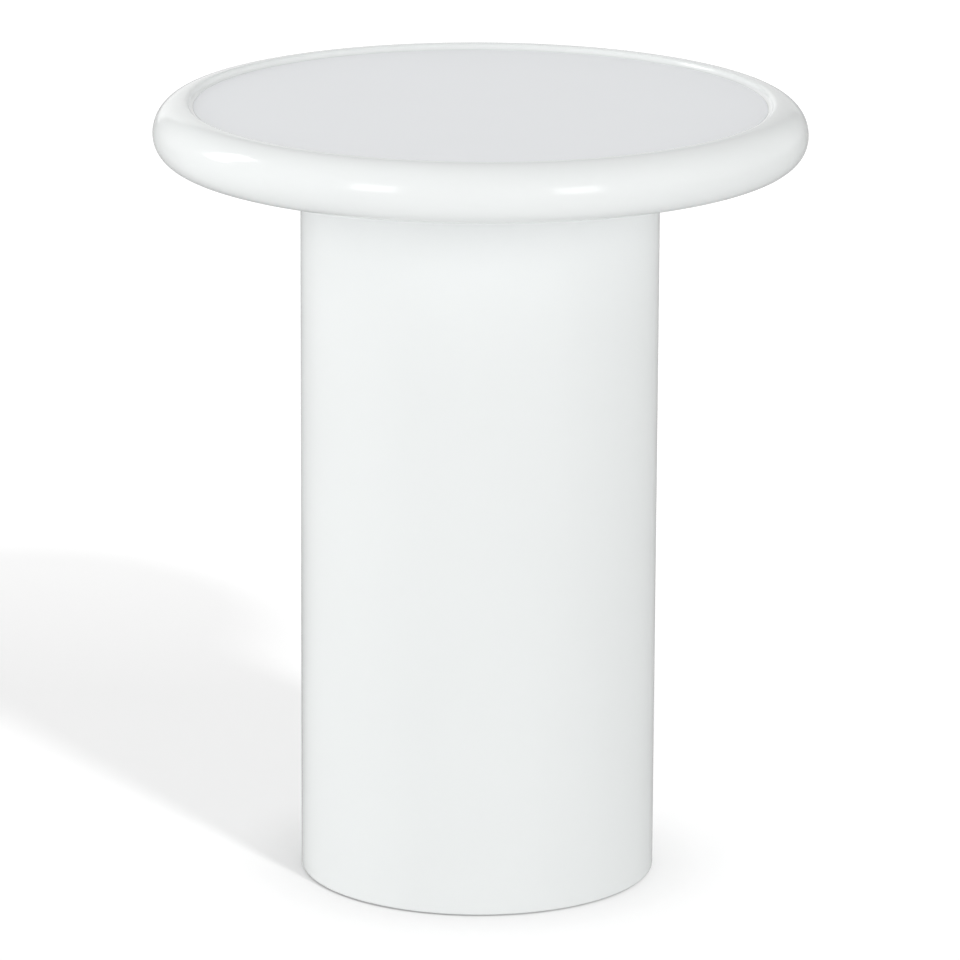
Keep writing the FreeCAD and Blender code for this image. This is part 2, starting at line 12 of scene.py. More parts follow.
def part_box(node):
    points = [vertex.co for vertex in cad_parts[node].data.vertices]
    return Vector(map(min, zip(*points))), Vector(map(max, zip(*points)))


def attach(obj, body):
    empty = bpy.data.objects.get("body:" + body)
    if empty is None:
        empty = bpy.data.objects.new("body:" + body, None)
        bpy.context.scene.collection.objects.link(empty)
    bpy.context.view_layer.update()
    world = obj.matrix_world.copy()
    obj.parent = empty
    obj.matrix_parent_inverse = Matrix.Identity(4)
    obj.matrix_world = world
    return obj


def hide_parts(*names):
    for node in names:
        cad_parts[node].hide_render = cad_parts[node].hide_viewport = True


bl_info = {
    "name": "Drum side table",
    "version": (1, 0, 0),
    "blender": (4, 5, 0),
    "location": "View3D > Sidebar > Drum table",
    "description": "Builds the dressed pieces of a lacquered drum side table over its packed frame",
    "category": "Object",
}

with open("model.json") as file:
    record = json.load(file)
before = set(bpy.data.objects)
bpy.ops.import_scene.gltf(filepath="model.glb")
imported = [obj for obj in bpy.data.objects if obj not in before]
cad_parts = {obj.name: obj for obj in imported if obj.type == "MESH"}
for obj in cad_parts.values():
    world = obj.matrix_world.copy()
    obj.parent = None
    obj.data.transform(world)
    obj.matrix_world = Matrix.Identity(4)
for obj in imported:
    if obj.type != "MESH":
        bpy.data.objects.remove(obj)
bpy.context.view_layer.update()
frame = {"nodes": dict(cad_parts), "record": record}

RIM_LOW, RIM_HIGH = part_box("rim_ring")
PANEL_LOW, PANEL_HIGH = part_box("top_panel")
BOARD_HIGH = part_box("underside_board")[1]
SHELL_LOW, SHELL_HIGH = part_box("drum_shell")
CORE_LOW, CORE_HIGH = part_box("top_core")
GLIDES = ("rear_right", "rear_left", "front_left", "front_right")
SLOT_OF = {part["node"]: part["material_slot"] for part in frame["record"]["subparts"]}

# A quarter of a turn, in degrees
QUARTER = 90.0

# Steps along curves, and round turned pieces
ROLL_STEPS = 28
SLOPE_STEPS = 14
PANEL_EDGE_STEPS = 6
SHELL_EDGE_STEPS = 8
RIVET_EDGE_STEPS = 4
RIVET_ROUND_STEPS = 40
PAD_FOOT_STEPS = 3
PAD_EDGE_STEPS = 6
PAD_ROUND_STEPS = 96
THREAD_ROUND_STEPS = 28
COLLAR_SIDES = 6

# Limits for sharp edges and for merging, the second in metres
SHARP_FROM = math.radians(32)
MERGE_WITHIN = 1e-6
THREAD_MERGE_WITHIN = 2e-6

# Shares of the glue line, of the rivet head and of a thread's pitch
LIP_SHARE = 0.8
DOME_SHARE = 1 / 3
THREAD_CREST = (0.43, 0.57)
THREAD_LEAD_IN = 1.5
THREAD_SPARE_TURNS = 2

# Lamps: metres, and degrees of azimuth from the front to the right and of elevation
LAMP_DISTANCE = 9.0
LAMP_STANDS = {"key": (32.0, 36.0), "right": (34.1, 17.2), "left": (-37.7, 17.9), "side": (-107.6, 26.7)}
SOFTBOX_SIZES = {"right": (2.5, 3.5), "left": (2.5, 3.5), "side": (1.8, 3.9)}
KEY_WIDTH = 5.5

# Floor and camera: metres, and millimetres for the sensor
FLOOR_REACH = 14.0
CONTACT_SAMPLES = 8
SENSOR_WIDTH = 36.0
CLIP_START, CLIP_END = 0.05, 60.0

# Where and how sharply the surroundings pass from one level to another
OVERHEAD_POWER, HORIZON_POWER = 4.0, 3.0
DIP_START, DIP_END = 0.75, 0.95
CARD_FALL_START = -0.1


def length(name, description, default):
    """A length setting in metres."""
    return FloatProperty(
        name=name,
        description=description,
        default=default,
        min=0.0,
        precision=4,
        subtype="DISTANCE",
        unit="LENGTH",
    )


def offset(name, description, default):
    """A place along an axis in metres, which may lie below zero."""
    return FloatProperty(
        name=name, description=description, default=default, precision=3, subtype="DISTANCE", unit="LENGTH"
    )


def number(name, description, default):
    """A plain setting of zero or more."""
    return FloatProperty(name=name, description=description, default=default, min=0.0, precision=3)


def angle(name, description, degrees):
    """An angle setting."""
    return FloatProperty(
        name=name, description=description, default=math.radians(degrees), subtype="ANGLE", unit="ROTATION"
    )


def colour(name, description, default):
    """A colour setting."""
    return FloatVectorProperty(
        name=name, description=description, default=default, size=3, min=0.0, max=1.0, subtype="COLOR"
    )


class DrumTableSizes(bpy.types.PropertyGroup):
    """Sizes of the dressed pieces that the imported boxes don't give."""

    rim_upper_depth: length("Rim upper depth", "From the widest line of the rim in to its crest", 0.022)
    rim_upper_height: length("Rim upper height", "From the widest line of the rim up to its crest", 0.0225)
    rim_lower_depth: length("Rim lower depth", "From the widest line of the rim in to its underside", 0.0175)
    rim_slope_width: length("Rim slope width", "From the crest in to the edge of the panel", 0.0065)
    glue_line: length("Glue line", "Gap between glued pieces", 0.00015)
    fine_round: length("Fine round", "Radius of an edge that is only eased", 0.0004)
    panel_round: length("Panel round", "Radius of the panel's upper edge", 0.00025)
    shell_wall: length("Shell wall", "Thickness of the drum's shell", 0.009)
    shell_round: length("Shell round", "Radius of the drum's lower edges", 0.0015)
    pad_round: length("Pad round", "Radius of a glide pad's upper edge", 0.0012)
    pad_recess: length("Pad recess", "Radius of the recess under a glide pad", 0.0056)
    pad_recess_roof: length("Pad recess roof", "Height of the roof of that recess", 0.00295)
    neck: length("Neck", "Radius of a stud's neck in its pad", 0.003)
    rivet: length("Rivet", "Radius of the rivet head under a glide pad", 0.005)
    rivet_thickness: length("Rivet thickness", "Thickness of the rivet head", 0.0018)
    collar_flats: length("Collar flats", "Width across a stud's hexagon collar", 0.014)
    collar_height: length("Collar height", "Height of a stud's hexagon collar", 0.0045)
    stud: length("Stud", "Outside radius of a stud's thread", 0.004)
    thread_pitch: length("Thread pitch", "Rise of a thread in one turn", 0.00125)
    thread_depth: length("Thread depth", "Depth of a thread's groove", 0.00068)
    steps_round: IntProperty(
        name="Steps round", description="Faces round the large turned pieces", default=288, min=24
    )


class DrumTableColours(bpy.types.PropertyGroup):
    """Colours of the finishes."""

    gloss: colour("Gloss lacquer", "Sprayed lacquer on the rim and the drum", (0.847, 0.868, 0.864))
    satin: colour("Satin lacquer", "Sprayed lacquer on the panel and the underside", (0.91, 0.928, 0.947))
    board: colour("Fibreboard", "Bare fibreboard of the core and the formers", (0.42, 0.28, 0.155))
    softwood: colour("Softwood", "Planed softwood of the battens", (0.62, 0.42, 0.21))
    beech: colour("Beech", "Turned beech of the dowels", (0.58, 0.36, 0.19))
    black: colour("Black paint", "Paint on the base plate", (0.018, 0.018, 0.019))
    zinc: colour("Zinc plate", "Plating of the bolts, screws, nuts and studs", (0.56, 0.58, 0.60))
    brass: colour("Brass", "Turned brass of the inserts", (0.66, 0.43, 0.16))
    iron: colour("Cast iron", "Blackened iron of the ballast", (0.035, 0.035, 0.037))
    nylon: colour("Nylon", "Moulded nylon of the glide pads", (0.022, 0.022, 0.024))


class DrumTableStudio(bpy.types.PropertyGroup):
    """Camera, lamps, surroundings and floor."""

    lens: number("Lens", "Focal length of the camera, in millimetres", 250.76)
    camera_distance: length("Camera distance", "From the drum's axis to the camera, along the floor", 4.5978)
    camera_height: length("Camera height", "From the floor to the camera", 1.4997)
    camera_tilt: angle("Camera tilt", "How far the camera looks down", 14.804)
    camera_roll: angle("Camera roll", "How far the camera leans", 0.287)
    camera_swing: angle("Camera swing", "How far the camera looks to the right", 0.0103)
    key_power: number("Key lamp", "Strength of the far lamp that throws the shadow on the floor", 1.6)
    right_power: number("Right softbox", "Power of the softbox in front on the right", 84.0)
    left_power: number("Left softbox", "Power of the softbox in front on the left", 90.0)
    side_power: number("Side softbox", "Power of the softbox on the left", 135.0)
    overhead: number("Overhead light", "Strength of the light from straight above", 1.16)
    horizon: number("Horizon light", "Strength of the light from all round at the floor's level", 2.92)
    horizon_fall: number("Horizon fall", "How much weaker both are from the right", 0.07)
    reflection: number("Reflection", "Strength of the surroundings in reflections", 0.75)
    reflection_tilt: number("Reflection tilt", "How much stronger that is on the right", 0.1)
    reflection_dip: number("Reflection dip", "How much weaker that is straight behind the table", 0.35)
    card: number("White card", "Strength of the white card behind the table in reflections", 1.0)
    card_fall: number("Card fall", "Strength that the card loses to the right, over its distance", 1.0)
    card_left: number("Card left", "Reach of the card to the left, over its distance", 0.384)
    card_right: number("Card right", "Reach of the card to the right, over its distance", 0.259)
    card_top: number("Card top", "Height of the card over the table, over its distance", 0.42)
    floor: colour("Floor", "Colour of the floor as the camera sees it shaded", (0.55, 0.55, 0.55))
    floor_bounce: colour("Floor bounce", "Colour of the floor as it lights the table", (0.7, 0.7, 0.7))
    # Painted shade: the darker floor colour that reflections show behind the table stands in for the table's
    # shade on the floor; the next three settings place it
    floor_mirrored_shade: colour("Floor mirrored", "Colour of the floor behind in reflections", (0.33, 0.33, 0.33))
    mirror_start: offset("Mirror start", "How far behind the drum's axis that colour begins", -0.2)
    mirror_end: offset("Mirror end", "How far behind the drum's axis that colour is full", 0.3)
    mirror_turn: number("Mirror turn", "How much nearer both are for each metre to the right", 0.7)
    floor_glow: number("Floor glow", "White that the floor shows on top of its own shading", 0.495)
    # Painted light: the white rises behind the table to lighten the floor's shadow there; the next two
    # settings place that rise
    floor_painted_rise: number("Floor rise", "How much that white rises behind the table", 0.08)
    rise_start: length("Rise start", "How far behind the drum's axis the white begins to rise", 0.42)
    rise_end: length("Rise end", "How far behind the drum's axis the white stops rising", 0.78)
    # Painted shade: the white lost round the table's foot is a painted contact shadow, spread by an ambient
    # occlusion node
    floor_contact_shade: number("Floor contact", "How much of that white is lost at the table's foot", 0.28)
    contact_reach: length("Contact reach", "How far from the table's foot some of it is lost", 0.07)
    floor_reflection: number("Floor reflection", "Share of the floor's glow that reflections show", 0.15)


# Shading

class Value:
    """A shader socket that takes part in sums; each sum adds a Math node."""

    def __init__(self, finish, socket):
        self.finish = finish
        self.socket = socket

    def __add__(self, other):
        return self.finish.maths("ADD", self, other)

    __radd__ = __add__

    def __sub__(self, other):
        return self.finish.maths("SUBTRACT", self, other)

    def __rsub__(self, other):
        return self.finish.maths("SUBTRACT", other, self)

    def __mul__(self, other):
        return self.finish.maths("MULTIPLY", self, other)

    __rmul__ = __mul__


class Finish:
    """A node tree while it is put together."""

    def __init__(self, owner):
        owner.use_nodes = True
        self.tree = owner.node_tree
        self.tree.nodes.clear()

    def feed(self, socket, value):
        """Links a shader value to a socket, or sets a plain one on it."""
        if isinstance(value, Value):
            self.tree.links.new(value.socket, socket)
        else:
            socket.default_value = value

    def node(self, kind, settings=None, sockets=None, output=0):
        """Adds a node, with its settings first and then the values or links of its sockets."""
        made = self.tree.nodes.new(kind)
        for name, setting in (settings or {}).items():
            setattr(made, name, setting)
        for name, value in (sockets or {}).items():
            self.feed(made.inputs[name], value)
        return Value(self, made.outputs[output]) if made.outputs else made

    def maths(self, operation, first, second):
        """One Math node."""
        return self.node("ShaderNodeMath", {"operation": operation}, {0: first, 1: second})

    def mixed(self, share, first, second):
        """One colour passing into another."""
        return self.node("ShaderNodeMix", {"data_type": "RGBA"}, {0: share, 6: first, 7: second}, 2)

    def place(self, stretch=(1.0, 1.0, 1.0)):
        """Object coordinates in metres, stretched along each axis."""
        here = self.node("ShaderNodeTexCoord", output="Object")
        return self.node("ShaderNodeMapping", sockets={"Vector": here, "Scale": stretch})

    def split(self, vector, axes):
        """The parts of a vector along the named axes."""
        return [self.node("ShaderNodeSeparateXYZ", sockets={"Vector": vector}, output=axis) for axis in axes]

    def noise(self, where, scale, detail=2.0, roughness=0.5):
        """Cloudy noise from 0 to 1."""
        sockets = {"Vector": where, "Scale": scale, "Detail": detail, "Roughness": roughness}
        return self.node("ShaderNodeTexNoise", sockets=sockets)

    def wave(self, where, scale, distortion, **settings):
        """Bands or rings from 0 to 1."""
        sockets = {"Vector": where, "Scale": scale, "Distortion": distortion}
        return self.node("ShaderNodeTexWave", settings, sockets, "Fac")

    def ramp(self, value, low, high):
        """A value spread from 0 to 1 between two of its own levels."""
        return self.node("ShaderNodeMapRange", sockets={"Value": value, "From Min": low, "From Max": high})

    def bump(self, height, strength, depth):
        """A normal that follows a relief of some depth in metres."""
        sockets = {"Height": height, "Strength": strength, "Distance": depth}
        return self.node("ShaderNodeBump", sockets=sockets)

    def shader(self, **sockets):
        """The main shader; a socket's name has _ for its spaces."""
        named = {name.replace("_", " "): value for name, value in sockets.items()}
        return self.node("ShaderNodeBsdfPrincipled", sockets=named)

    def surface(self, shader):
        """Ends a material."""
        self.node("ShaderNodeOutputMaterial", sockets={"Surface": shader})


def shade(tint, level=1.0):
    """A colour made lighter or darker, with its alpha."""
    return tuple(min(1.0, part * level) for part in tint) + (1.0,)


def swing(noise, reach):
    """A noise as a swing to both sides of zero."""
    return reach * (noise - 0.5)


def new_finish(name):
    """An empty material, and its node tree to fill."""
    material = bpy.data.materials.new(name)
    return material, Finish(material)


def lacquer(name, tint, roughness, peel_depth):
    """Sprayed white lacquer: a slow drift of tone, dust-fine haze and a trace of orange peel."""
    material, f = new_finish(name)
    here = f.place()
    drift = f.noise(here, scale=7.0)
    haze = f.noise(here, scale=160.0, detail=3.0)
    peel = f.noise(here, scale=620.0, detail=1.0) + 0.35 * f.noise(here, scale=1700.0, detail=0.0)
    f.surface(f.shader(
        Base_Color=f.mixed(f.ramp(drift, low=0.3, high=0.7), shade(tint, 0.985), shade(tint)),
        Roughness=roughness + swing(drift, reach=0.05) + swing(haze, reach=0.06),
        Normal=f.bump(peel, strength=0.05, depth=peel_depth),
    ))
    return material


def fibreboard(tint):
    """Bare fibreboard: pressed fibres on the faces, darker and open on the sawn edges."""
    material, f = new_finish("bare_fibreboard")
    here = f.place()
    fibres = f.noise(f.place((1.0, 0.4, 1.0)), scale=900.0, detail=4.0, roughness=0.7)
    flecks = f.ramp(f.noise(here, scale=1400.0), low=0.62, high=0.7)
    cloud = f.ramp(f.noise(here, scale=22.0, detail=3.0), low=0.3, high=0.7)
    upright = f.split(f.node("ShaderNodeNewGeometry", output="Normal"), "Z")[0]
    face = f.ramp(upright * upright, low=0.2, high=0.8)
    pressed = f.mixed(f.ramp(fibres, low=0.35, high=0.68), shade(tint, 0.82), shade(tint, 1.12))
    sawn = f.mixed(f.ramp(fibres, low=0.3, high=0.7), shade(tint, 0.5), shade(tint, 0.86))
    board = f.mixed(face, sawn, pressed)
    clouded = f.mixed(0.25 * cloud, board, shade(tint, 0.7))
    f.surface(f.shader(
        Base_Color=f.mixed(0.5 * flecks, clouded, shade(tint, 0.45)),
        Roughness=0.86 - 0.12 * face,
        Normal=f.bump(fibres, strength=0.35, depth=0.0004),
    ))
    return material


def softwood(tint):
    """Planed softwood: growth rings, hair-fine grain along the length and a few resin flecks."""
    material, f = new_finish("planed_softwood")
    along = f.place((1.0, 1.0, 0.04))
    wander = f.noise(along, scale=34.0)
    bend = {0: wander, 1: (0.012, 0.012, 0.0), 2: along}
    bent = f.node("ShaderNodeVectorMath", {"operation": "MULTIPLY_ADD"}, bend)
    rings = f.wave(
        bent, scale=62.0, distortion=1.2, wave_type="RINGS", rings_direction="Z", wave_profile="SAW"
    )
    hairs = f.noise(f.place((1.0, 1.0, 0.012)), scale=1500.0, detail=3.0, roughness=0.65)
    resin = f.noise(f.place((1.0, 1.0, 0.06)), scale=420.0, detail=1.0)
    flecks = f.ramp(resin, low=0.68, high=0.74)
    late = f.ramp(rings, low=0.45, high=0.98)
    wood = f.mixed(late, shade(tint, 1.08), shade(tint, 0.6))
    grained = f.mixed(0.35 * f.ramp(hairs, low=0.4, high=0.7), wood, shade(tint, 0.7))
    f.surface(f.shader(
        Base_Color=f.mixed(0.6 * flecks, grained, shade(tint, 0.35)),
        Roughness=0.62 - 0.14 * late + swing(hairs, reach=0.1),
        Normal=f.bump(hairs - 0.3 * late, strength=0.25, depth=0.0003),
    ))
    return material


def beech(tint):
    """Beech dowel rod: even pinkish wood with short dark pores along it."""
    material, f = new_finish("beech_rod")
    pores = f.ramp(f.noise(f.place((1.0, 1.0, 0.09)), scale=1300.0, detail=1.0), low=0.6, high=0.7)
    cloud = f.ramp(f.noise(f.place((1.0, 1.0, 0.2)), scale=120.0), low=0.3, high=0.7)
    wood = f.mixed(cloud, shade(tint, 0.86), shade(tint, 1.1))
    f.surface(f.shader(
        Base_Color=f.mixed(0.65 * pores, wood, shade(tint, 0.45)),
        Roughness=0.55 + 0.15 * pores,
        Normal=f.bump(1.0 - pores, strength=0.25, depth=0.0002),
    ))
    return material


def black_paint(tint):
    """Rolled black paint: a stippled film, dusty in places and lightly scuffed."""
    material, f = new_finish("rolled_black_paint")
    here = f.place()
    stipple = f.noise(here, scale=480.0)
    rubbed = f.noise(f.place((1.0, 0.25, 1.0)), scale=70.0, detail=4.0, roughness=0.7)
    scuffs = f.ramp(rubbed, low=0.62, high=0.8)
    dust = f.noise(here, scale=26.0, detail=3.0)
    dusty = f.mixed(f.ramp(dust, low=0.3, high=0.8), shade(tint), shade(tint, 1.9))
    f.surface(f.shader(
        Base_Color=f.mixed(0.4 * scuffs, dusty, shade(tint, 3.2)),
        Roughness=0.55 + swing(dust, reach=0.16) + 0.12 * scuffs,
        Normal=f.bump(stipple, strength=0.22, depth=0.0005),
    ))
    return material


def metal(name, tint, roughness, turned):
    """Plated or turned metal: cloudy brightness, fine scratches and turning marks."""
    material, f = new_finish(name)
    here = f.place()
    cloud = f.noise(here, scale=260.0, detail=3.0)
    scratches = f.noise(f.place((1.0, 1.0, 24.0)), scale=420.0)
    marks = f.wave(here, scale=900.0, distortion=1.5, wave_type="BANDS", bands_direction="Z")
    f.surface(f.shader(
        Base_Color=f.mixed(f.ramp(cloud, low=0.35, high=0.7), shade(tint, 0.84), shade(tint, 1.08)),
        Metallic=1.0,
        Roughness=roughness + swing(cloud, reach=0.2) + swing(scratches, reach=0.08),
        Normal=f.bump((1.0 - turned) * scratches + turned * marks, strength=0.12, depth=0.00006),
    ))
    return material


def cast_iron(tint):
    """Blackened sand casting: pitted, with bare grey on its high spots."""
    material, f = new_finish("blackened_casting")
    here = f.place()
    sand = f.noise(here, scale=520.0, detail=4.0, roughness=0.65)
    pits = f.ramp(f.noise(here, scale=190.0), low=0.25, high=0.4)
    bare = f.ramp(sand, low=0.56, high=0.7)
    blackened = f.mixed(pits, shade(tint, 0.4), shade(tint))
    f.surface(f.shader(
        Base_Color=f.mixed(0.5 * bare, blackened, shade(tint, 4.2)),
        Metallic=0.35 * bare,
        Roughness=0.78 - 0.2 * bare,
        Normal=f.bump(sand + 1.4 * pits, strength=0.45, depth=0.0007),
    ))
    return material


def nylon(tint):
    """Moulded nylon: a fine spark-eroded grain and a soft bloom."""
    material, f = new_finish("moulded_nylon")
    here = f.place()
    grain = f.noise(here, scale=1500.0)
    bloom = f.noise(here, scale=90.0)
    f.surface(f.shader(
        Base_Color=f.mixed(f.ramp(bloom, low=0.3, high=0.75), shade(tint), shade(tint, 1.7)),
        Roughness=0.46 + swing(bloom, reach=0.16) + swing(grain, reach=0.1),
        Normal=f.bump(grain, strength=0.2, depth=0.00012),
    ))
    return material


FINISHES = {}


def finish_for(slot):
    """The material of one of the record's slots, made once."""
    tints = bpy.context.scene.drum_table_colours
    makers = {
        "gloss_lacquer": lambda: lacquer(
            "white_gloss_lacquer", tints.gloss, roughness=0.11, peel_depth=0.0002
        ),
        "satin_lacquer": lambda: lacquer(
            "white_satin_lacquer", tints.satin, roughness=0.36, peel_depth=0.00025
        ),
        "fibreboard": lambda: fibreboard(tints.board),
        "softwood": lambda: softwood(tints.softwood),
        "beech": lambda: beech(tints.beech),
        "black_board": lambda: black_paint(tints.black),
        "zinc_plate": lambda: metal("zinc_plated_steel", tints.zinc, roughness=0.3, turned=0.25),
        "brass": lambda: metal("turned_brass", tints.brass, roughness=0.26, turned=0.8),
        "cast_iron": lambda: cast_iron(tints.iron),
        "nylon": lambda: nylon(tints.nylon),
    }
    if slot not in FINISHES:
        FINISHES[slot] = makers[slot]()
    return FINISHES[slot]


# Modelling

class Section:
    """A line drawn in the XZ plane and then turned about the Z axis."""

    def __init__(self, radius, height):
        self.bm = bmesh.new()
        self.tip = self.bm.verts.new((radius, 0.0, height))

    def line(self, *points):
        """Runs on to each (radius, height) point in turn."""
        for radius, height in points:
            self.tip = bmesh.ops.extrude_vert_indiv(self.bm, verts=[self.tip])["verts"][0]
            self.tip.co = (radius, 0.0, height)

    def curve(self, radius, height, degrees, steps, stretch=(1.0, 1.0)):
        """Runs on round a centre, counter-clockwise for a positive angle, and is then stretched about it."""
        centre = Vector((radius, 0.0, height))
        before = set(self.bm.verts)
        spun = bmesh.ops.spin(
            self.bm, geom=[self.tip], cent=centre, axis=(0, -1, 0), angle=math.radians(degrees), steps=steps
        )
        self.tip = next(part for part in spun["geom_last"] if isinstance(part, bmesh.types.BMVert))
        added = [vert for vert in self.bm.verts if vert not in before]
        if stretch != (1.0, 1.0):
            scale = (stretch[0], 1.0, stretch[1])
            bmesh.ops.scale(self.bm, vec=scale, space=Matrix.Translation(-centre), verts=added)

    def turned(self, steps):
        """Runs back to the first vertex, and gives the solid of revolution with seam and poles closed."""
        self.bm.verts.ensure_lookup_table()
        first = self.bm.verts[0]
        if (self.tip.co - first.co).length > MERGE_WITHIN:
            self.bm.edges.new((self.tip, first))
        bmesh.ops.remove_doubles(self.bm, verts=self.bm.verts, dist=MERGE_WITHIN)
        drawn = self.bm.verts[:] + self.bm.edges[:]
        bmesh.ops.spin(
            self.bm, geom=drawn, cent=(0, 0, 0), axis=(0, 0, 1), angle=math.tau, steps=steps, use_merge=True
        )
        bmesh.ops.remove_doubles(self.bm, verts=self.bm.verts, dist=MERGE_WITHIN)
        bmesh.ops.recalc_face_normals(self.bm, faces=self.bm.faces)
        return self.bm


def prism(sides, flats, low, high, ease):
    """An upright bar with flat sides and eased edges."""
    bm = bmesh.new()
    radius = flats / 2 / math.cos(math.pi / sides)
    bmesh.ops.create_circle(bm, cap_ends=True, segments=sides, radius=radius)
    bmesh.ops.translate(bm, verts=bm.verts, vec=(0, 0, low))
    raised = bmesh.ops.extrude_face_region(bm, geom=bm.faces[:])["geom"]
    top = [part for part in raised if isinstance(part, bmesh.types.BMVert)]
    bmesh.ops.translate(bm, verts=top, vec=(0, 0, high - low))
    bmesh.ops.recalc_face_normals(bm, faces=bm.faces)
    bmesh.ops.bevel(
        bm,
        geom=bm.edges[:],
        affect="EDGES",
        offset=ease,
        offset_type="OFFSET",
        segments=2,
        profile=0.5,
        material=-1,
    )
    return bm


def screw_thread(radius, depth, pitch, low, high):
    """A right-hand thread between two heights, cut square at both ends."""
    bm = bmesh.new()
    turns = math.ceil((high - low) / pitch) + THREAD_SPARE_TURNS
    rise, fall = THREAD_CREST
    ridge = ((radius - depth, 0.0), (radius, rise), (radius, fall), (radius - depth, 1.0))
    verts = [bm.verts.new((r, 0.0, low + (share - THREAD_LEAD_IN) * pitch)) for r, share in ridge]
    edges = [bm.edges.new(pair) for pair in zip(verts, verts[1:])]
    bmesh.ops.spin(
        bm,
        geom=verts + edges,
        cent=(0, 0, 0),
        axis=(0, 0, 1),
        dvec=(0, 0, pitch / THREAD_ROUND_STEPS),
        angle=math.tau * turns,
        steps=THREAD_ROUND_STEPS * turns,
    )
    bmesh.ops.remove_doubles(bm, verts=bm.verts, dist=THREAD_MERGE_WITHIN)
    for height, side in ((low, -1), (high, 1)):
        whole = bm.verts[:] + bm.edges[:] + bm.faces[:]
        bmesh.ops.bisect_plane(
            bm, geom=whole, plane_co=(0, 0, height), plane_no=(0, 0, side), clear_outer=True
        )
        cut = [
            edge
            for edge in bm.edges
            if edge.is_boundary and all(abs(vert.co.z - height) < MERGE_WITHIN for vert in edge.verts)
        ]
        bmesh.ops.edgeloop_fill(bm, edges=cut)
    bmesh.ops.recalc_face_normals(bm, faces=bm.faces)
    return bm


def joined(*parts):
    """Several shapes in one mesh."""
    whole = bmesh.new()
    for part in parts:
        mesh = bpy.data.meshes.new("part")
        part.to_mesh(mesh)
        part.free()
        whole.from_mesh(mesh)
        bpy.data.meshes.remove(mesh)
    return whole


def stood(bm, low, high):
    """A shape moved from the Z axis to the middle of a packed box."""
    bmesh.ops.translate(bm, verts=bm.verts, vec=((low.x + high.x) / 2, (low.y + high.y) / 2, 0.0))
    return bm


def add_piece(name, bm, body, *nodes):
    """Makes a shape a finished piece that rides on a body in place of its CAD nodes."""
    mesh = bpy.data.meshes.new(name)
    bm.to_mesh(mesh)
    bm.free()
    slot = SLOT_OF[nodes[0]]
    mesh.materials.append(finish_for(slot))
    mesh.shade_smooth()
    mesh.set_sharp_from_angle(angle=SHARP_FROM)
    piece = bpy.data.objects.new(name, mesh)
    bpy.context.scene.collection.objects.link(piece)
    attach(piece, body)
    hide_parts(*nodes)


class DRUMTABLE_OT_rim(bpy.types.Operator):
    """Build the rolled rim of the top"""

    bl_idname = "drum_table.rim"
    bl_label = "Rolled rim"

    def execute(self, context):
        s = context.scene.drum_table_sizes
        radius, crest_z, underside = RIM_HIGH.x, RIM_HIGH.z, RIM_LOW.z
        widest_z = crest_z - s.rim_upper_height
        crest = radius - s.rim_upper_depth
        tray = crest - s.rim_slope_width
        lip = tray - LIP_SHARE * s.glue_line
        half_width, half_drop = s.rim_slope_width / 2, (crest_z - PANEL_HIGH.z) / 2
        slope = (half_width**2 + half_drop**2) / (2 * half_drop)
        slope_angle = math.degrees(math.asin(half_width / slope))
        foot = radius - s.rim_lower_depth
        lower_height = widest_z - underside
        inner = CORE_HIGH.x + s.glue_line
        seat = BOARD_HIGH.x + s.glue_line
        fine = s.fine_round
        upper_stretch = (1.0, s.rim_upper_height / s.rim_upper_depth)
        lower_stretch = (s.rim_lower_depth / lower_height, 1.0)
        section = Section(radius, widest_z)
        section.curve(crest, widest_z, QUARTER, ROLL_STEPS, upper_stretch)
        section.curve(crest, crest_z - slope, slope_angle, SLOPE_STEPS)
        section.curve(tray, PANEL_HIGH.z + slope, -slope_angle, SLOPE_STEPS)
        section.line((lip, PANEL_HIGH.z - s.glue_line), (tray, PANEL_HIGH.z - 2 * s.glue_line))
        section.line((tray, PANEL_LOW.z - s.glue_line), (inner, PANEL_LOW.z - s.glue_line))
        section.line((inner, CORE_LOW.z), (seat, CORE_LOW.z))
        section.line((seat, underside + fine), (seat + fine, underside))
        section.line((foot - fine, underside), (foot, underside))
        section.curve(foot, widest_z, QUARTER, ROLL_STEPS, lower_stretch)
        add_piece("rolled_rim", section.turned(s.steps_round), "table", "rim_ring")
        return {"FINISHED"}


class DRUMTABLE_OT_panel(bpy.types.Operator):
    """Build the flat panel of the tray"""

    bl_idname = "drum_table.panel"
    bl_label = "Tray panel"

    def execute(self, context):
        s = context.scene.drum_table_sizes
        radius, face, back, ease = PANEL_HIGH.x, PANEL_HIGH.z, PANEL_LOW.z, s.panel_round
        section = Section(0.0, back)
        section.line((radius - ease, back), (radius, back + ease))
        section.line((radius, face - 2 * ease), (radius, face - ease))
        section.curve(radius - ease, face - ease, QUARTER, PANEL_EDGE_STEPS)
        section.line((radius - 2 * ease, face), (radius / 2, face), (0.0, face))
        add_piece("tray_panel", section.turned(s.steps_round), "table", "top_panel")
        return {"FINISHED"}


class DRUMTABLE_OT_drum(bpy.types.Operator):
    """Build the plain shell of the drum"""

    bl_idname = "drum_table.drum"
    bl_label = "Drum shell"

    def execute(self, context):
        s = context.scene.drum_table_sizes
        outer, low, high, ease = SHELL_HIGH.x, SHELL_LOW.z, SHELL_HIGH.z, s.shell_round
        inner = outer - s.shell_wall
        section = Section(inner, high)
        section.line((inner, low + 2 * ease), (inner, low + ease))
        section.curve(inner + ease, low + ease, QUARTER, SHELL_EDGE_STEPS)
        section.line((outer - ease, low))
        section.curve(outer - ease, low + ease, QUARTER, SHELL_EDGE_STEPS)
        section.line((outer, low + 2 * ease), (outer, high - 2 * ease), (outer, high))
        add_piece("drum_tube", section.turned(s.steps_round), "table", "drum_shell")
        return {"FINISHED"}


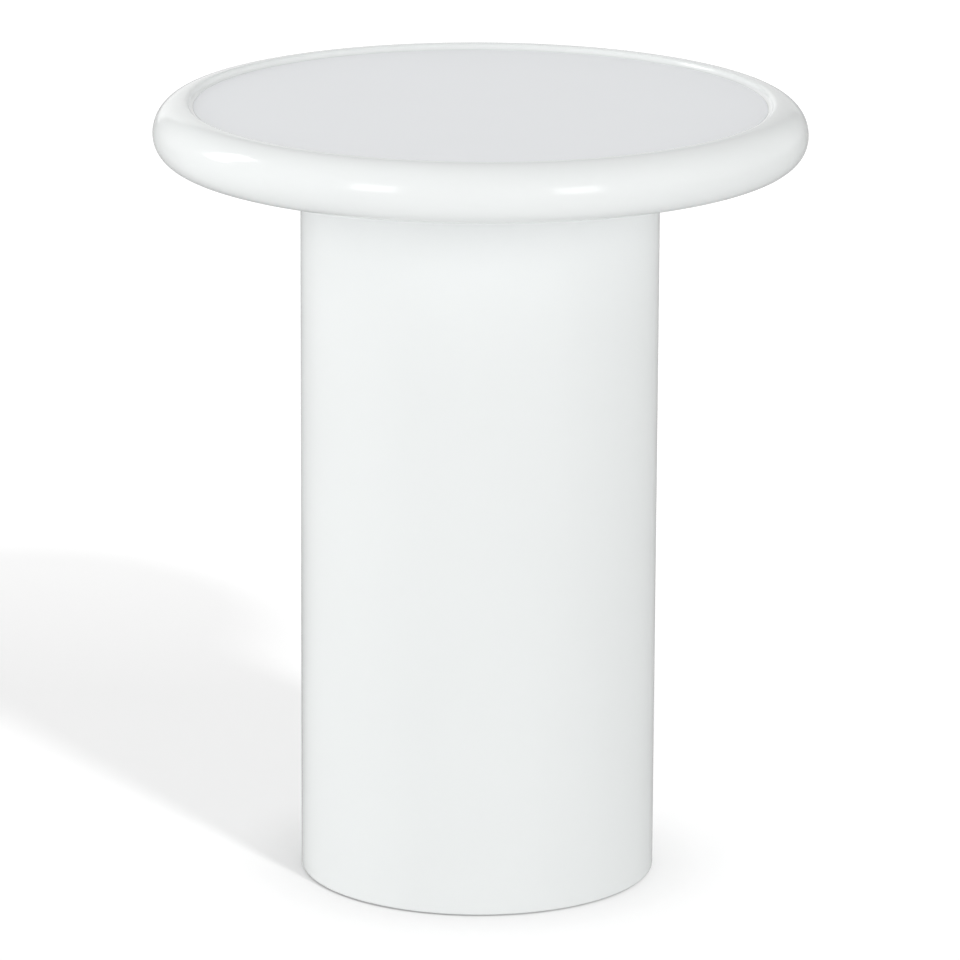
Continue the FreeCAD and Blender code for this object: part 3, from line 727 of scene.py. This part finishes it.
class DRUMTABLE_OT_studs(bpy.types.Operator):
    """Build the four levelling studs: rivet, neck, hexagon collar and thread"""

    bl_idname = "drum_table.studs"
    bl_label = "Levelling studs"

    def execute(self, context):
        s = context.scene.drum_table_sizes
        for glide in GLIDES:
            node = glide + "_glide_stud"
            low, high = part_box(node)
            rivet_top = low.z + s.rivet_thickness
            collar_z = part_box(glide + "_glide_pad")[1].z + s.glue_line
            collar_top = collar_z + s.collar_height
            dome = DOME_SHARE * s.rivet_thickness
            section = Section(0.0, low.z)
            section.line((s.rivet - dome, low.z))
            section.curve(s.rivet - dome, low.z + dome, QUARTER, RIVET_EDGE_STEPS)
            section.line((s.rivet, rivet_top), (s.neck, rivet_top), (s.neck, collar_z + s.fine_round))
            section.line((0.0, collar_z + s.fine_round))
            rivet = section.turned(RIVET_ROUND_STEPS)
            collar = prism(COLLAR_SIDES, s.collar_flats, collar_z, collar_top, s.fine_round)
            thread_z = collar_top - s.fine_round
            thread = screw_thread(s.stud, s.thread_depth, s.thread_pitch, thread_z, high.z)
            stud = stood(joined(rivet, collar, thread), low, high)
            add_piece(glide + "_stud", stud, glide + "_stud", node)
        return {"FINISHED"}


class DRUMTABLE_OT_pads(bpy.types.Operator):
    """Build the four moulded glide pads"""

    bl_idname = "drum_table.pads"
    bl_label = "Glide pads"

    def execute(self, context):
        s = context.scene.drum_table_sizes
        bore, recess, roof = s.neck + s.glue_line, s.pad_recess, s.pad_recess_roof
        for glide in GLIDES:
            node = glide + "_glide_pad"
            low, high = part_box(node)
            radius, ease, fine = (high.x - low.x) / 2, s.pad_round, s.fine_round
            section = Section(bore, roof)
            section.line((recess, roof), (recess, low.z + fine), (recess + fine, low.z))
            section.line((radius - fine, low.z))
            section.curve(radius - fine, low.z + fine, QUARTER, PAD_FOOT_STEPS)
            section.line((radius, high.z - 2 * ease), (radius, high.z - ease))
            section.curve(radius - ease, high.z - ease, QUARTER, PAD_EDGE_STEPS)
            section.line((radius - 2 * ease, high.z), (bore + fine, high.z), (bore, high.z - fine))
            pad = stood(section.turned(PAD_ROUND_STEPS), low, high)
            add_piece(glide + "_pad", pad, glide + "_pad", node)
        return {"FINISHED"}


class DRUMTABLE_OT_carried(bpy.types.Operator):
    """Give every CAD node that still shows its finish"""

    bl_idname = "drum_table.carried"
    bl_label = "Carried-over pieces"

    def execute(self, context):
        for name, node in frame["nodes"].items():
            if not node.hide_render:
                node.data.materials.clear()
                node.data.materials.append(finish_for(SLOT_OF[name]))
        return {"FINISHED"}


# Studio

def add_lamp(lamp, stand, power, ground, state):
    """Stands a lamp facing the top of the table, and lets it light the floor alone or all but the floor."""
    lamp.energy = power
    azimuth, elevation = map(math.radians, LAMP_STANDS[stand])
    level = math.cos(elevation)
    back = Vector((math.sin(azimuth) * level, -math.cos(azimuth) * level, math.sin(elevation)))
    holder = bpy.data.objects.new(lamp.name, lamp)
    holder.location = Vector((0, 0, RIM_LOW.z)) + LAMP_DISTANCE * back
    holder.rotation_euler = back.to_track_quat("Z", "Y").to_euler()
    holder.visible_camera = False
    bpy.context.scene.collection.objects.link(holder)
    lit = bpy.data.collections.new(lamp.name + "_reach")
    lit.objects.link(ground)
    lit.collection_objects[0].light_linking.link_state = state
    holder.light_linking.receiver_collection = lit


def ray_kinds(f):
    """Which rays are at work: straight ones from the camera or through glass, and reflected ones."""
    kinds = ("Camera", "Transmission", "Glossy")
    camera, through, reflected = (f.node("ShaderNodeLightPath", output="Is %s Ray" % kind) for kind in kinds)
    return camera + through, reflected


def floor_finish(studio):
    """A pale floor that shows white to the camera, keeps its shadows and is clear from below, with a painted
    contact shadow at the table's foot, painted light behind the table and painted shade behind the table in
    reflections.
    """
    material, f = new_finish("studio_floor")
    straight, reflected = ray_kinds(f)
    here = f.place()
    grain = f.noise(here, scale=900.0, detail=1.0)
    across, behind = f.split(here, "XY")
    # Painted shade: reflections show the floor darker behind and to the right of the table, in place of the
    # table's shade there
    painted_shade_share = f.ramp(behind + studio.mirror_turn * across, studio.mirror_start, studio.mirror_end)
    mirrored = f.mixed(painted_shade_share, shade(studio.floor), shade(studio.floor_mirrored_shade))
    bounced = f.mixed(reflected, shade(studio.floor_bounce), mirrored)
    reach = {"Distance": studio.contact_reach}
    # Painted shade: a contact shadow painted round the table's foot, where ambient occlusion finds the table
    # near
    open_sky = f.node("ShaderNodeAmbientOcclusion", {"samples": CONTACT_SAMPLES}, reach, "AO")
    # Painted light: the white rises behind the table, lightening the shadow on the floor there
    white = studio.floor_glow + studio.floor_painted_rise * f.ramp(behind, studio.rise_start, studio.rise_end)
    white_with_painted_light_and_shade = straight * (white - studio.floor_contact_shade * (1.0 - open_sky))
    white_mirrored = studio.floor_glow * studio.floor_reflection * reflected
    top = f.shader(
        Base_Color=f.mixed(straight, bounced, shade(studio.floor)),
        Roughness=1.0,
        Specular_IOR_Level=0.0,
        Emission_Color=white_with_painted_light_and_shade + white_mirrored,
        Emission_Strength=1.0,
        Normal=f.bump(grain, strength=0.02, depth=0.0001),
    )
    under = f.node("ShaderNodeNewGeometry", output="Backfacing")
    clear = f.node("ShaderNodeBsdfTransparent")
    f.surface(f.node("ShaderNodeMixShader", sockets={0: under, 1: top, 2: clear}))
    return material


def surround(studio):
    """White to the camera, a white card in a dimmer room to reflections, and strongest low down as light."""
    world = bpy.data.worlds.new("white_surroundings")
    f = Finish(world)
    straight, reflected = ray_kinds(f)
    across, behind, up = f.split(f.node("ShaderNodeTexCoord", output="Object"), "XYZ")
    rise = f.maths("MAXIMUM", up, 0.0)
    high = f.maths("POWER", rise, OVERHEAD_POWER)
    low = f.maths("POWER", 1.0 - rise, HORIZON_POWER)
    fall = 1.0 - studio.horizon_fall * f.maths("MAXIMUM", across, 0.0)
    light = (studio.overhead * high + studio.horizon * low) * fall
    aside, above = f.maths("DIVIDE", across, behind), f.maths("DIVIDE", up, behind)
    past_left = f.maths("GREATER_THAN", aside, -studio.card_left)
    short_of_right = f.maths("LESS_THAN", aside, studio.card_right)
    below_top = f.maths("LESS_THAN", above, studio.card_top)
    card = past_left * short_of_right * below_top * f.maths("GREATER_THAN", behind, 0.0)
    dip = studio.reflection_dip * f.ramp(behind, DIP_START, DIP_END)
    room = studio.reflection + studio.reflection_tilt * across - dip
    white = studio.card - studio.card_fall * f.maths("MAXIMUM", aside - CARD_FALL_START, 0.0)
    shown = straight + reflected * (room + card * (white - room))
    strength = shown + (1.0 - straight - reflected) * light
    glow = f.node("ShaderNodeBackground", sockets={"Strength": strength, "Color": (1, 1, 1, 1)})
    f.node("ShaderNodeOutputWorld", sockets={"Surface": glow})
    return world


class DRUMTABLE_OT_studio(bpy.types.Operator):
    """Set up the floor, the lamps, the surroundings and the camera"""

    bl_idname = "drum_table.studio"
    bl_label = "Studio"

    def execute(self, context):
        scene = context.scene
        studio = scene.drum_table_studio
        scene.view_settings.view_transform = "Standard"

        bm = bmesh.new()
        bmesh.ops.create_grid(bm, x_segments=1, y_segments=1, size=FLOOR_REACH)
        mesh = bpy.data.meshes.new("studio_floor")
        bm.to_mesh(mesh)
        bm.free()
        mesh.materials.append(floor_finish(studio))
        ground = bpy.data.objects.new("studio_floor", mesh)
        scene.collection.objects.link(ground)

        key = bpy.data.lights.new("key_lamp", "SUN")
        key.angle = math.radians(KEY_WIDTH)
        add_lamp(key, "key", studio.key_power, ground, "INCLUDE")
        for stand, (width, height) in SOFTBOX_SIZES.items():
            softbox = bpy.data.lights.new(stand + "_softbox", "AREA")
            softbox.shape = "RECTANGLE"
            softbox.size, softbox.size_y = width, height
            add_lamp(softbox, stand, getattr(studio, stand + "_power"), ground, "EXCLUDE")

        scene.world = surround(studio)

        lens = bpy.data.cameras.new("camera")
        lens.lens, lens.sensor_width = studio.lens, SENSOR_WIDTH
        lens.clip_start, lens.clip_end = CLIP_START, CLIP_END
        camera = bpy.data.objects.new("camera", lens)
        placed = Matrix.Translation((0.0, -studio.camera_distance, studio.camera_height))
        swung = Matrix.Rotation(-studio.camera_swing, 4, "Z")
        tilted = Matrix.Rotation(math.pi / 2 - studio.camera_tilt, 4, "X")
        rolled = Matrix.Rotation(studio.camera_roll, 4, "Z")
        camera.matrix_world = placed @ swung @ tilted @ rolled
        scene.collection.objects.link(camera)
        scene.camera = camera
        return {"FINISHED"}


class DRUMTABLE_PT_build(bpy.types.Panel):
    """Settings and building steps of the drum table"""

    bl_idname = "DRUMTABLE_PT_build"
    bl_label = "Drum table"
    bl_space_type = "VIEW_3D"
    bl_region_type = "UI"
    bl_category = "Drum table"

    def draw(self, context):
        for step in STEPS:
            self.layout.operator(step.bl_idname)
        for group in GROUPS:
            box = self.layout.box()
            settings = getattr(context.scene, group)
            for name in settings.bl_rna.properties.keys():
                if name not in {"rna_type", "name"}:
                    box.prop(settings, name)


STEPS = (
    DRUMTABLE_OT_rim,
    DRUMTABLE_OT_panel,
    DRUMTABLE_OT_drum,
    DRUMTABLE_OT_studs,
    DRUMTABLE_OT_pads,
    DRUMTABLE_OT_carried,
    DRUMTABLE_OT_studio,
)
GROUPS = {
    "drum_table_sizes": DrumTableSizes,
    "drum_table_colours": DrumTableColours,
    "drum_table_studio": DrumTableStudio,
}


def register():
    for made in (*GROUPS.values(), *STEPS, DRUMTABLE_PT_build):
        bpy.utils.register_class(made)
    for name, group in GROUPS.items():
        setattr(bpy.types.Scene, name, PointerProperty(type=group))


def unregister():
    for name in GROUPS:
        delattr(bpy.types.Scene, name)
    for made in (DRUMTABLE_PT_build, *reversed(STEPS), *GROUPS.values()):
        bpy.utils.unregister_class(made)


def main():
    register()
    for step in STEPS:
        area, name = step.bl_idname.split(".")
        getattr(getattr(bpy.ops, area), name)()


if __name__ == "__main__":
    main()
